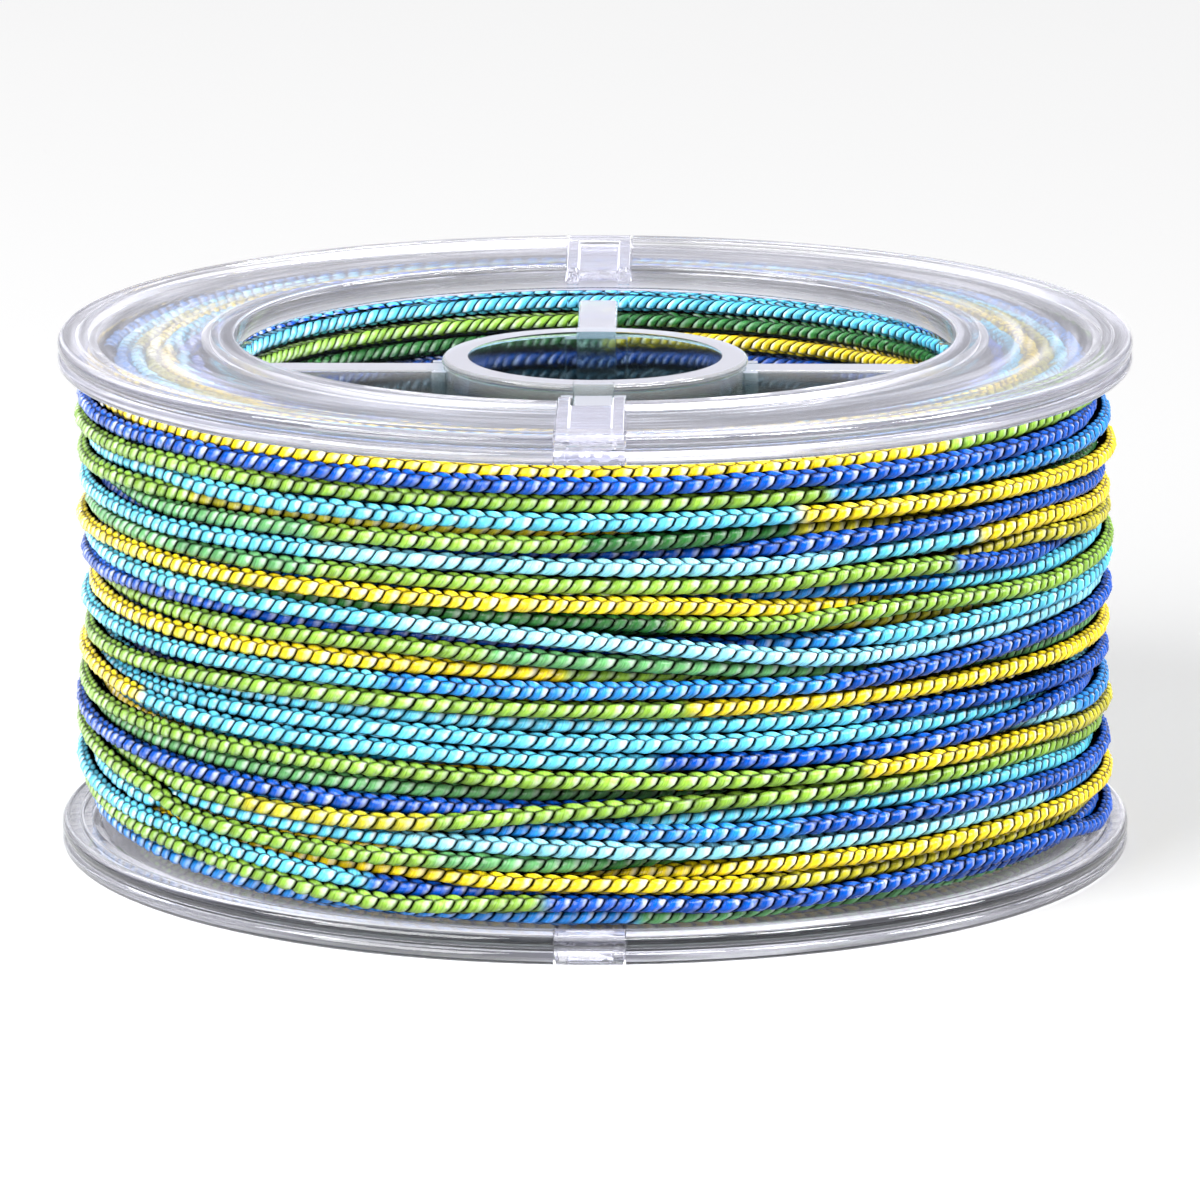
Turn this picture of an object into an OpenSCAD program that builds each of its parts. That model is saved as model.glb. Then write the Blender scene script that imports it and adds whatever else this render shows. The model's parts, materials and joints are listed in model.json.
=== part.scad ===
// Clear line spool: two flanges on a drum, a four-spoke hub that slides into the drum,
// four lock keys in radial dovetail grooves, and a braided line wound on the drum.
// +Z is up. The origin is on the spool's axis, in the plane that the lower flange rests on.
// The front of the spool is towards -Y.

/* [Overall] */
// Outside diameter of both flanges
flange_d = 100; // [82:1:130]
// Height over both flanges, outer face to outer face
spool_h = 48.4; // [34:0.2:80]
// Diameter of the opening in each flange, and of the inside of the drum
opening_d = 67; // [48:0.5:84]

/* [Flanges] */
// Thickness of a flange at its rim and at its opening
flange_t = 2.8; // [2.3:0.1:4]
// Depth of the shallow recess in each face of a flange
recess_depth = 0.4; // [0.2:0.05:0.45]
// Width of the raised rim outside the recess
rim_w = 2.8; // [2:0.1:4]
// Width of the raised collar round the opening
collar_w = 2.2; // [1.9:0.1:3]
// Width of the slope between a raised ring and the recess
slope_w = 0.9; // [0.3:0.1:1.4]
// Depth of the groove between the two beads of the rim
bead_groove = 0.35; // [0.1:0.05:0.5]
// Edge break round the opening
edge_break = 0.3; // [0.1:0.05:0.5]

/* [Drum] */
// Wall of the drum that the line is wound on
drum_wall = 1.4; // [1:0.1:1.8]
// Depth that each end of the drum seats into its flange
seat_depth = 0.5; // [0.3:0.05:0.7]
// How far the spoke runners stand in from the drum's inside
runner_depth = 1.3; // [1:0.1:2]
// Diameter of the hole that the start of the line comes through
anchor_hole_d = 2.1; // [1.8:0.1:2.8]
// Height of that hole above the lower flange
anchor_height = 6; // [4:0.5:12]

/* [Hub] */
// Bore of the hub, which a spindle goes through
hub_bore_d = 23.7; // [16:0.1:30]
// Wall of the hub
hub_wall = 2.2; // [1.8:0.1:3]
// Depth of the hub's top below the upper flange's outer face
hub_drop = 2.4; // [1:0.1:5]
// Radius of the rolled lip at each end of the hub
lip_r = 0.45; // [0.3:0.05:0.6]
// How far the lip stands out of the hub's wall
lip_out = 0.2; // [0.1:0.05:0.4]
// Length of the short sockets outside the hub that hold the spokes
socket_l = 1.1; // [0.8:0.1:2]
// Depth of the pockets in the hub's wall for the front and back spokes
pocket_depth = 1.2; // [0.6:0.1:1.4]

/* [Spokes] */
// Thickness of a spoke
spoke_t = 3.7; // [3:0.1:5]
// Depth of a spoke's top below the hub's top
spoke_drop = 1.05; // [0.8:0.05:3]
// Rounding of the spokes' long top and bottom edges
spoke_edge = 0.3; // [0.1:0.05:0.6]

/* [Lock keys] */
// Width of each cheek beside the key's channel, and of the walls beside a spoke
cheek_w = 1.1; // [0.8:0.1:1.6]
// Thickness of a key's stem in its groove
key_t = 1.4; // [1:0.05:1.5]
// Radial length of a key's head, which fills the notch in the rim
head_l = 2.4; // [1.8:0.1:3.4]
// How much wider each side of a key is at the bottom of its groove
dovetail = 0.2; // [0.1:0.05:0.4]
// Depth of the channel between a key's cheeks
channel_depth = 0.5; // [0.3:0.05:0.7]

/* [Line] */
// Diameter of the line's outer turns as modelled
line_d = 1.6; // [1.2:0.05:1.8]
// Gap left between the flange's edge and the outside of the winding
line_margin = 2; // [1.5:0.1:6]
// Least gap between two turns of the outer layer
turn_gap = 0.41; // [0.41:0.01:1]
// Diameter of the knot that holds the start of the line
knot_d = 3.6; // [3.2:0.1:4.5]

/* [Clearances] */
// Gap between sliding faces of the plastic pieces
slide_gap = 0.05; // [0.03:0.01:0.1]
// Gap between the drum's runners and the stems of the lock keys
runner_gap = 0.3; // [0.2:0.05:0.6]
// Gap between the spokes' ends and the drum
spoke_end_gap = 0.1; // [0.05:0.01:0.3]
// Gap between the winding and the upper flange
line_gap = 0.3; // [0.2:0.05:0.5]

/* [Hidden] */
$fn = 128;

over = 1;                                   // how far a cut runs past what it cuts
sink = 0.3;                                 // how far a rib is rooted in its wall
flange_r = flange_d / 2;
opening_r = opening_d / 2;
bead_r = flange_t / 4;                      // two beads share the rim's thickness
drum_r = opening_r + drum_wall;
drum_z0 = flange_t - seat_depth;
drum_h = spool_h - 2 * drum_z0;
runner_r = opening_r - runner_depth;        // inner face of the runners and of the keys
hub_bore_r = hub_bore_d / 2;
hub_r = hub_bore_r + hub_wall;
hub_z0 = hub_drop;
hub_h = spool_h - 2 * hub_drop;
spoke_z0 = hub_drop + spoke_drop;
spoke_h = spool_h - 2 * spoke_z0;
spoke_r = opening_r - spoke_end_gap;
slot_w = spoke_t + 2 * slide_gap;           // between two runners, sockets or cheeks
key_w = slot_w + 2 * cheek_w;
channel_r = flange_r - rim_w - slope_w;     // outer end of a key's channel
runner_z0 = key_t + runner_gap;             // the runners reach down to the lower keys

line_r = flange_r - line_margin;
turn_r = line_r - line_d / 2;
rings = 24;                                 // rings in one turn of the outer layer
sides = 6;
core_gap = 0.2;
core_r = turn_r * cos(180 / rings) - line_d / 2 - core_gap;
core_r0 = drum_r + slide_gap;
line_z0 = flange_t + slide_gap;
line_z1 = spool_h - flange_t - line_gap;
turn_z0 = line_z0 + line_d / 2;
turn_z1 = line_z1 - line_d / 2;
max_turns = 24;
turns = min(max_turns, floor((turn_z1 - turn_z0) / (line_d + turn_gap)));
pitch = (turn_z1 - turn_z0) / turns;
bend_r = line_d;                            // bend where the line leaves the outer layer
bend_rings = 4;
dive_hole_d = line_d + 0.4;
start_angle = 130;                          // where the outer layer's first turn begins
anchor_angle = -20;
anchor_z = flange_t + anchor_height;

clear = [0.84, 0.89, 0.92, 0.45];
clear_edge = [0.74, 0.81, 0.86, 0.6];

// ---- shared shapes ----

// Half section of a flange that lies on z = 0, with the side that faces the line up.
module flange_section() {
    recess_r0 = opening_r + collar_w + slope_w;
    difference() {
        union() {
            polygon([
                [opening_r, edge_break], [opening_r + edge_break, 0],
                [opening_r + collar_w, 0], [recess_r0, recess_depth],
                [channel_r, recess_depth], [flange_r - rim_w, 0],
                [flange_r - bead_r, 0], [flange_r - bead_r, flange_t],
                [flange_r - rim_w, flange_t], [channel_r, flange_t - recess_depth],
                [recess_r0, flange_t - recess_depth], [opening_r + collar_w, flange_t],
                [opening_r, flange_t]
            ]);
            rim_beads();
        }
        // rebate that the drum's end seats in
        translate([opening_r - over, flange_t - seat_depth])
            square([drum_wall + slide_gap + over, seat_depth + over]);
    }
}

// The two beads of the rim and the floor of the groove between them.
module rim_beads() {
    for (z = [bead_r, flange_t - bead_r])
        translate([flange_r - bead_r, z]) circle(bead_r);
    translate([flange_r - rim_w / 2, bead_r])
        square([rim_w / 2 - bead_groove, flange_t - 2 * bead_r]);
}

// Plan of a key or its groove seen from the rim: a dovetail, widest inside the flange.
module dovetail_section(grow) {
    half = key_w / 2 + grow;
    polygon([
        [-half, -grow], [half, -grow],
        [half + dovetail, key_t + grow], [half + dovetail, flange_t + over],
        [-half - dovetail, flange_t + over], [-half - dovetail, key_t + grow]
    ]);
}

// A straight bar with the dovetail's section, along -Y from the axis past the rim.
module dovetail_bar(grow) {
    rotate([90, 0, 0])
        linear_extrude(flange_r + over)
            dovetail_section(grow);
}

// Groove and rim notch for the front key of a flange that lies on z = 0.
module key_groove() {
    intersection() {
        dovetail_bar(slide_gap);
        union() {
            // groove for the stem, open to the flange's outer face and to its opening
            translate([-key_w, -flange_r - over, -over])
                cube([2 * key_w, flange_r - opening_r + 2 * over + runner_depth,
                      over + key_t + slide_gap]);
            // notch for the head, through the whole rim
            difference() {
                cylinder(r = flange_r + over, h = flange_t + over);
                translate([0, 0, -over])
                    cylinder(r = flange_r - head_l - slide_gap, h = flange_t + 3 * over);
            }
        }
    }
    // the groove's mouth at the flange's outer face
    translate([-key_w / 2 - slide_gap, -flange_r - over, -over])
        cube([key_w + 2 * slide_gap, flange_r - opening_r + 2 * over + edge_break, over]);
}

// A flange on z = 0 with its two key grooves.
module flange() {
    difference() {
        rotate_extrude() flange_section();
        key_groove();
        rotate([0, 0, 180]) key_groove();
    }
}

// Half section of a key: stem in the groove, head with the rim's own beads.
module key_section() {
    translate([runner_r, 0])
        square([flange_r - bead_r - runner_r, key_t]);
    translate([flange_r - head_l, 0])
        square([head_l - bead_r, flange_t]);
    rim_beads();
}

// The front key of a flange that lies on z = 0.
module key() {
    difference() {
        intersection() {
            rotate_extrude() key_section();
            dovetail_bar(0);
        }
        // channel between the cheeks, ending in an arc at the rim
        intersection() {
            translate([-slot_w / 2, -flange_r, -over])
                cube([slot_w, flange_r, over + channel_depth]);
            translate([0, 0, -over])
                cylinder(r = channel_r, h = 2 * over + channel_depth);
        }
        // fork open to the spoke where the key stands in front of the drum
        intersection() {
            translate([-slot_w / 2, -flange_r, -over])
                cube([slot_w, flange_r, flange_t + 2 * over]);
            translate([0, 0, -over])
                cylinder(r = opening_r + slide_gap, h = flange_t + 2 * over);
        }
    }
}

// Puts a part of the lower flange on the upper flange, upside down.
module on_top() {
    translate([0, 0, spool_h]) mirror([0, 0, 1]) children();
}

// One runner on the drum's inside, at the front: two cheeks with a stop between them.
module runner() {
    intersection() {
        difference() {
            translate([-key_w / 2, -opening_r - sink, runner_z0])
                cube([key_w, runner_depth + 2 * sink, spool_h - 2 * runner_z0]);
            // channel that the spoke slides down, as far as its stop
            translate([-slot_w / 2, -opening_r, spoke_z0])
                cube([slot_w, runner_depth + over, spool_h]);
        }
        difference() {
            cylinder(r = opening_r - slide_gap, h = spool_h);
            translate([0, 0, -over]) cylinder(r = runner_r, h = spool_h + 2 * over);
        }
    }
}

// Root that joins a runner to the drum's wall, only as high as the wall.
module runner_root() {
    for (side = [-1, 1])
        translate([side * (slot_w + cheek_w) / 2 - cheek_w / 2, -opening_r - sink, drum_z0])
            cube([cheek_w, 2 * sink, drum_h]);
}

// One socket outside the hub, at the front: a cheek each side of the spoke.
module socket() {
    for (side = [-1, 1])
        translate([side * (slot_w + cheek_w) / 2 - cheek_w / 2, -hub_r - socket_l, spoke_z0])
            cube([cheek_w, socket_l + sink, spoke_h]);
}

// A spoke to the front, with rounded long edges. Its outer end follows the drum.
module spoke(inner_r) {
    intersection() {
        rotate([90, 0, 0])
            linear_extrude(spoke_r)
                spoke_outline();
        difference() {
            cylinder(r = spoke_r, h = spool_h);
            translate([0, 0, -over]) cylinder(r = inner_r, h = spool_h + 2 * over);
        }
    }
}

// Cross-section of a spoke, a tall bar with its corners rounded.
module spoke_outline() {
    for (z = [spoke_z0 + spoke_edge, spoke_z0 + spoke_h - spoke_edge])
        for (x = [spoke_edge - spoke_t / 2, spoke_t / 2 - spoke_edge])
            translate([x, z]) circle(spoke_edge);
    translate([spoke_edge - spoke_t / 2, spoke_z0])
        square([spoke_t - 2 * spoke_edge, spoke_h]);
    translate([-spoke_t / 2, spoke_z0 + spoke_edge])
        square([spoke_t, spoke_h - 2 * spoke_edge]);
}

// A spoke whose tongue fills the pocket in the hub's wall, up to the hub's own ends.
module tongued_spoke() {
    tongue_r = hub_r - pocket_depth + slide_gap;
    union() {
        spoke(tongue_r);
        intersection() {
            translate([-spoke_t / 2, -hub_r, hub_z0]) cube([spoke_t, hub_r, hub_h]);
            difference() {
                cylinder(r = hub_r, h = spool_h);
                translate([0, 0, -over]) cylinder(r = tongue_r, h = spool_h + 2 * over);
            }
        }
    }
}

// ---- the line ----

// A point of the outer layer's helix, t turns from its start.
function helix_point(t) =
    let (a = start_angle + 360 * t)
    [turn_r * cos(a), turn_r * sin(a), turn_z0 + pitch * t];

// A point of the bend that takes an end of the line into the core.
// side is -1 before the first turn and 1 after the last; s goes from 0 to 90 degrees.
function bend_point(side, s) =
    let (a = start_angle + (side > 0 ? 360 * turns : 0),
         along = side * bend_r * sin(s),
         r = turn_r - bend_r * (1 - cos(s)),
         z = side > 0 ? turn_z1 : turn_z0)
    [r * cos(a) - along * sin(a), r * sin(a) + along * cos(a), z];

// The end of the line, one diameter further in, square to the core.
function end_point(side) =
    let (p = bend_point(side, 90),
         a = start_angle + (side > 0 ? 360 * turns : 0))
    [p[0] - line_d * cos(a), p[1] - line_d * sin(a), p[2]];

line_path = [
    end_point(-1),
    for (k = [bend_rings : -1 : 1]) bend_point(-1, 90 * k / bend_rings),
    for (k = [0 : rings * turns]) helix_point(k / rings),
    for (k = [1 : bend_rings]) bend_point(1, 90 * k / bend_rings),
    end_point(1)
];

function unit(v) = v / norm(v);

// Direction of the path at point i.
function heading(path, i) =
    unit(path[min(i + 1, len(path) - 1)] - path[max(i - 1, 0)]);

// One ring of the tube's corners round point i, square to the path.
function ring_at(path, i, r) =
    let (t = heading(path, i),
         n = unit(cross(t, [0, 0, 1])),
         b = cross(n, t))
    [for (k = [0 : sides - 1]) path[i] + r * (n * cos(360 * k / sides) + b * sin(360 * k / sides))];

// A closed tube of radius r along a path.
module tube_along(path, r) {
    count = len(path);
    points = [for (i = [0 : count - 1]) each ring_at(path, i, r)];
    walls = [
        for (i = [0 : count - 2], k = [0 : sides - 1])
            let (a = i * sides + k, b = i * sides + (k + 1) % sides)
            each [[a, b, b + sides], [a, b + sides, a + sides]]
    ];
    first_cap = [for (k = [1 : sides - 2]) [0, k + 1, k]];
    base = (count - 1) * sides;
    last_cap = [for (k = [1 : sides - 2]) [base, base + k, base + k + 1]];
    polyhedron(points, concat(walls, first_cap, last_cap));
}

// Least gap between two turns, measured between points at least half a turn apart.
turn_clearance = min([
    for (i = [0 : len(line_path) - 1 - rings / 2], j = [i + rings / 2 : len(line_path) - 1])
        norm(line_path[i] - line_path[j])
]) - line_d;
echo(turns = turns, turn_pitch = pitch, turn_clearance = turn_clearance);

// Hole of diameter d and length h from point p outwards, in the direction of an angle.
module radial_hole(p, angle, d, h) {
    translate(p)
        rotate([0, 90, angle])
            cylinder(d = d, h = h);
}

// Hole in the core for an end of the outer layer, which meets the hole's floor.
module dive_hole(side) {
    radial_hole(end_point(side), start_angle + (side > 0 ? 360 * turns : 0),
                dive_hole_d, 2 * line_d + core_gap);
}

// ---- sub-parts ----

module lower_flange() {
    color(clear) flange();
}

module upper_flange() {
    color(clear) on_top() flange();
}

module drum_tube() {
    color(clear)
        difference() {
            union() {
                translate([0, 0, drum_z0])
                    difference() {
                        cylinder(r = drum_r, h = drum_h);
                        translate([0, 0, -over]) cylinder(r = opening_r, h = drum_h + 2 * over);
                    }
                for (a = [0 : 90 : 270])
                    rotate([0, 0, a]) {
                        runner();
                        runner_root();
                    }
            }
            radial_hole([0, 0, anchor_z], anchor_angle, anchor_hole_d, flange_r);
        }
}

module hub_tube() {
    color(clear_edge)
        difference() {
            union() {
                rotate_extrude() hub_section();
                for (a = [0 : 90 : 270])
                    rotate([0, 0, a]) socket();
            }
            // pockets for the tongues of the front and back spokes
            for (a = [0, 180])
                rotate([0, 0, a])
                    difference() {
                        translate([-slot_w / 2, -hub_r - socket_l - over, 0])
                            cube([slot_w, hub_r + socket_l + over, spool_h]);
                        translate([0, 0, -over])
                            cylinder(r = hub_r - pocket_depth, h = spool_h + 2 * over);
                    }
        }
}

// Half section of the hub: its wall, with a rolled lip at each end.
module hub_section() {
    translate([hub_bore_r, hub_z0]) square([hub_wall - lip_r, hub_h]);
    translate([hub_bore_r, hub_z0 + lip_r]) square([hub_wall, hub_h - 2 * lip_r]);
    for (z = [hub_z0 + lip_r, hub_z0 + hub_h - lip_r])
        translate([hub_r + lip_out - lip_r, z]) circle(lip_r);
    translate([hub_r - lip_r, hub_z0]) square([lip_out, hub_h]);
}

module spoke_front() {
    color(clear_edge) tongued_spoke();
}

module spoke_back() {
    color(clear_edge) rotate([0, 0, 180]) tongued_spoke();
}

module spoke_left() {
    color(clear_edge) rotate([0, 0, -90]) spoke(hub_r + slide_gap);
}

module spoke_right() {
    color(clear_edge) rotate([0, 0, 90]) spoke(hub_r + slide_gap);
}

module upper_key_front() {
    color(clear_edge) on_top() key();
}

module upper_key_back() {
    color(clear_edge) on_top() rotate([0, 0, 180]) key();
}

module lower_key_front() {
    color(clear_edge) key();
}

module lower_key_back() {
    color(clear_edge) rotate([0, 0, 180]) key();
}

module line_core() {
    color("yellowgreen")
        difference() {
            translate([0, 0, line_z0]) cylinder(r = core_r, h = line_z1 - line_z0);
            cylinder(r = core_r0, h = spool_h);
            dive_hole(-1);
            dive_hole(1);
        }
}

module line_outer() {
    color("deepskyblue") tube_along(line_path, line_d / 2);
}

module line_start_knot() {
    color("gold")
        rotate([0, 0, anchor_angle])
            translate([opening_r - slide_gap - knot_d / 2, 0, anchor_z]) {
                sphere(d = knot_d);
                rotate([0, 90, 0])
                    cylinder(d = line_d, h = knot_d / 2 + slide_gap + drum_wall);
            }
}

lower_flange();
upper_flange();
drum_tube();
hub_tube();
spoke_front();
spoke_back();
spoke_left();
spoke_right();
upper_key_front();
upper_key_back();
lower_key_front();
lower_key_back();
line_core();
line_outer();
line_start_knot();
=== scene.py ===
"""Looks of the clear line spool: polished plastic pieces and the braided line wound on the drum.

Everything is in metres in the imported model's frame. Sizes below are in millimetres and are
multiplied by MM where a mesh is made. The spool's front is towards -Y.
"""

import json
import math

import bmesh
import bpy
import numpy as np
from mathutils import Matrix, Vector
from mathutils.bvhtree import BVHTree


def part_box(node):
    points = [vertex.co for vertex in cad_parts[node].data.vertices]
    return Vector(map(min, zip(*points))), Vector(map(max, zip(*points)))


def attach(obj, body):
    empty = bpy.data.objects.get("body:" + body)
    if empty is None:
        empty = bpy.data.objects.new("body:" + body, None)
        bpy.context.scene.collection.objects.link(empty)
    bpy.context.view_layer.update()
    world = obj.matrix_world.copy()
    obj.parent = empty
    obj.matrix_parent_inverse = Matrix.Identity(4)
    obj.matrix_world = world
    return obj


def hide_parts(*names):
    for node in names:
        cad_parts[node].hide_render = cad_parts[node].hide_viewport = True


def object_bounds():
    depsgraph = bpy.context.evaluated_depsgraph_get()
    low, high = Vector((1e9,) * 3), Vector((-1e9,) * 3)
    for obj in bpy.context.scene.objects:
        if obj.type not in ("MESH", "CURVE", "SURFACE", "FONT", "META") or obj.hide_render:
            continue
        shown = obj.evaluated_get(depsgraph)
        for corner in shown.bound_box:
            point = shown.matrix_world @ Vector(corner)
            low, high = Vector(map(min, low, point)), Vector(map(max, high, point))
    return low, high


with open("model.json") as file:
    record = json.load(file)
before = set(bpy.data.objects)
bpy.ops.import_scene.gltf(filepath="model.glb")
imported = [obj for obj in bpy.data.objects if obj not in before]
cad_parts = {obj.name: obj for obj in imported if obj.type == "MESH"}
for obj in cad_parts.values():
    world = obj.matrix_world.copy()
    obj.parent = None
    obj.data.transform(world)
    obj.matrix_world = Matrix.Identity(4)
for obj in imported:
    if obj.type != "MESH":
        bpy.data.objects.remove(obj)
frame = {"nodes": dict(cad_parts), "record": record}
cad_low, cad_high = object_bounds()

MM = 0.001
SEED = 7

# ---- sizes of the spool, in millimetres ----
FLANGE_R = cad_high.x / MM
SPOOL_H = cad_high.z / MM
FLANGE_T = 2.8
OPENING_R = 33.5
COLLAR_R = 35.7                     # outer edge of the raised collar round the opening
RECESS = (36.6, 46.3, 0.4)          # inner radius, outer radius and depth of the recess
RIM_R = 47.2                        # inner edge of the raised rim
BEAD_R = 0.7                        # radius of the two beads at the rim's edge
GROOVE_R = 49.65                    # and of the rim at the groove between them
LINE_GROOVE = (48.0, 48.15, 0.1)    # start, middle and depth of the fine groove on the rim
SEAT = (34.95, 0.5)                 # radius and depth of the rebate that the drum seats in
KEY_HALF = 3.0                      # half width of a lock key at the flange's face
DOVETAIL = 0.2                      # how much wider it is inside, on each side
KEY_T = 1.4                         # its depth
KEY_GAP = 0.05                      # the gap all round it
HEAD_R = 47.6                       # where its head starts
HUB_POLISH = (0.12, 5.0)            # rounding of a piece's edges, and the shortest edge rounded
KEY_POLISH = (0.16, 1.0)
POLISH_ANGLE = 40                   # an edge this sharp is rounded, in degrees
FLANGE_SEGMENTS = 288
LINE_LOW = 2.85                     # the winding stands between these two heights
LINE_HIGH = 45.3

# ---- the line ----
LINE_D = 1.9                        # diameter of the braided line
STITCH = 1.55                       # mean length of one stitch along the line
DRUM_SIDE_STITCH = 1.1              # the same where the line is pressed against the drum
TOP_TURN = LINE_HIGH - LINE_D / 2   # heights of the highest and lowest turns' centres
LOW_TURN = LINE_LOW + LINE_D / 2
FRONT_R = 47.2                      # radius of the outermost turns' centres
TUCKED = (0.0, 0.8, 1.65, -0.4)     # how far in a turn lies: outermost, half hidden, hidden, loose
PACKING = 0.91 * LINE_D             # how close the centres of two outer turns may come
BACKING_R = 44.1                    # radius of the layer behind the two outer ones
BACKING_TURNS = 20
DRUM_SIDE_R = 35.85                 # radius of the layer next to the drum
DRUM_SIDE_TURNS = 23
SPIRAL_PITCH = 1.41                 # turns against a flange lie half beside and half on each other
KNOT_ANGLE = -20.0                  # where the line's start is knotted inside the drum
KNOT_R = 31.7                       # the knot's place, its size and its pulled-in line's radius
KNOT_Z = 8.8
KNOT_SCALE = 0.4
KNOT_LINE_R = 0.6

# ---- the camera and the lights ----
CAMERA_DISTANCE = 1000.0
CAMERA_ELEVATION = 12.264
CAMERA_TURN = 0.54                  # degrees round the spool, towards +X
CAMERA_LENS = 320.69
CAMERA_AIM = (0.463, 0.0, 22.711)
KEY_LIGHT = (-0.75, -0.8, 0.6)      # the lights are in metres
KEY_LIGHT_SIZE = 0.8
KEY_LIGHT_POWER = 21.0
GLINT_SIZE = 0.3
# Each glint's name, its angle round the spool and above it in degrees, and its power in watts.
GLINTS = (
    ("glint_left", -75, 42, 5.0), ("glint_middle", 22, 55, 5.5), ("glint_right", 52, 45, 7.5),
    ("glint_side", 88, 35, 9.0), ("glint_back", 165, 55, 6.0),
)

# Dyes of the line, as sRGB colours.
DYES = {
    "yellow": "fbdc1c", "olive": "c0b82a", "green": "86b23c", "mint": "5fa362",
    "dark": "2b6b30", "cyan": "5cccee", "light": "8ee2fa", "teal": "1692ba",
    "azure": "1f86dc", "blue": "0050ba",
}

# The turns of the two outer layers, from the upper flange down. Each row has the turn's height
# at six places round the front, how far in it lies there (see TUCKED), and its dyes, each with
# the angle where it starts. Angles run from -90 at the left through 0 at the front to 90.
PLACES = (-90, -28, 0, 32, 56, 90)
TURNS = (
    ((44.4, 44.4, 44.4, 44.4, 44.4, 44.4), "111111", "yellow, green 45"),
    ((43.0, 43.5, 43.45, 43.4, 43.25, 42.9), "000002", "blue"),
    ((41.0, 41.6, 41.6, 41.7, 41.4, 41.1), "300000", "green, azure 27"),
    ((38.8, 40.5, 40.2, 39.9, 39.4, 38.0), "100000", "cyan, yellow 24"),
    ((37.8, 39.4, 39.2, 38.8, 38.5, 37.6), "011221", "green, olive -50, yellow -5, dark 8"),
    ((36.6, 37.9, 37.7, 38.5, 38.2, 37.2), "200122", "mint, green -30, dark 0, olive 24"),
    ((36.0, 37.2, 37.1, 37.8, 37.4, 35.6), "221001", "blue"),
    ((35.2, 36.0, 35.9, 36.0, 35.6, 33.8), "000000", "cyan, light -30, cyan 30, yellow 49"),
    ((33.5, 34.4, 34.0, 34.3, 33.2, 31.6), "100002", "mint, green -30, blue 44"),
    ((32.6, 33.4, 33.3, 33.0, 33.9, 32.0), "222200", "blue, olive 20"),
    ((32.0, 32.8, 32.9, 32.4, 31.0, 30.6), "222112", "azure, cyan 45"),
    ((31.5, 33.0, 32.4, 31.3, 30.6, 30.2), "000122", "yellow"),
    ((30.4, 32.0, 30.9, 30.9, 30.0, 29.7), "221000", "dark, green 10"),
    ((29.2, 30.2, 30.1, 29.4, 29.0, 28.6), "222122", "dark, olive 15"),
    ((29.6, 31.0, 29.4, 26.2, 26.4, 26.3), "100012", "cyan, light -20"),
    ((28.5, 29.6, 28.6, 27.9, 27.9, 27.7), "022000", "blue, azure 20, cyan 33"),
    ((27.8, 28.7, 27.1, 25.2, 23.6, 23.3), "200211", "green, mint -10"),
    ((25.6, 26.5, 26.0, 25.6, 26.0, 26.6), "101222", "yellow, green -2"),
    ((23.9, 24.8, 24.8, 24.4, 25.4, 25.3), "000000", "cyan, azure -22, blue 28"),
    ((20.8, 23.1, 22.7, 22.6, 22.6, 21.5), "100000", "green, yellow 11"),
    ((20.4, 21.9, 21.4, 21.0, 20.4, 18.9), "211000", "cyan, blue 31"),
    ((19.0, 20.4, 20.0, 19.3, 18.8, 18.2), "200012", "cyan"),
    ((19.4, 18.8, 18.2, 17.7, 18.0, 17.3), "000002", "yellow, cyan -58, blue 9"),
    ((17.2, 17.6, 17.4, 17.2, 17.0, 16.2), "222210", "teal, light 40, azure 70"),
    ((16.0, 16.7, 16.3, 15.9, 15.7, 13.5), "000000", "green, yellow 33, olive 62"),
    ((15.4, 15.9, 15.6, 14.9, 14.7, 14.2), "222122", "yellow"),
    ((14.9, 15.1, 14.4, 14.4, 14.0, 13.2), "212222", "mint"),
    ((13.9, 12.9, 13.3, 13.4, 13.2, 12.6), "002222", "blue"),
    ((13.4, 11.2, 14.1, 13.9, 14.0, 12.0), "100012", "green, olive -40, green -15"),
    ((12.6, 12.4, 13.1, 12.8, 12.6, 11.4), "222112", "cyan"),
    ((11.9, 12.0, 12.0, 11.3, 11.9, 10.4), "220000", "cyan, azure -12, blue 25"),
    ((11.2, 11.0, 11.0, 10.3, 10.6, 9.6), "221222", "teal"),
    ((10.2, 10.2, 10.0, 9.3, 10.0, 8.4), "110001", "cyan, light -20, azure 62"),
    ((11.0, 9.4, 8.2, 7.5, 8.4, 6.9), "112000", "dark, yellow -52"),
    ((12.4, 8.1, 8.6, 8.0, 7.6, 7.2), "001222", "green, mint -15, dark 2"),
    ((9.8, 7.2, 6.8, 6.2, 6.8, 5.8), "210122", "yellow, olive 18"),
    ((9.5, 6.3, 6.2, 5.9, 5.8, 5.2), "002222", "cyan, blue -24"),
    ((8.3, 4.8, 5.4, 5.2, 5.5, 3.8), "000000", "green, blue -3"),
    ((7.4, 4.4, 4.5, 4.3, 4.3, 4.4), "222222", "blue"),
    ((5.2, 3.9, 3.8, 3.8, 3.8, 3.8), "122222", "azure, mint 6"),
)

# Dyes of the turns next to the drum, from the top down. The numbers count turns, and each whole
# one is at the back of the spool.
DRUM_SIDE_DYES = (("cyan", -1), ("dark", 0.5), ("green", 1), ("yellow", 1.5), ("dark", 2),
                  ("blue", 2.5), ("teal", 3.4), ("green", 4.3), ("blue", 5.5), ("cyan", 7),
                  ("dark", 8.5), ("yellow", 10.2), ("green", 12), ("blue", 14), ("mint", 16.5))

# Dyes of the turns that lie against each flange, from the drum outwards, and of the backing's.
TOP_SPIRAL_DYES = ("blue", "cyan", "yellow", "olive", "light", "azure")
LOW_SPIRAL_DYES = ("green", "cyan", "blue", "yellow", "green")
BACKING_DYES = ("blue", "dark", "teal", "mint", "azure", "olive")


# ---- small helpers ----

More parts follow.
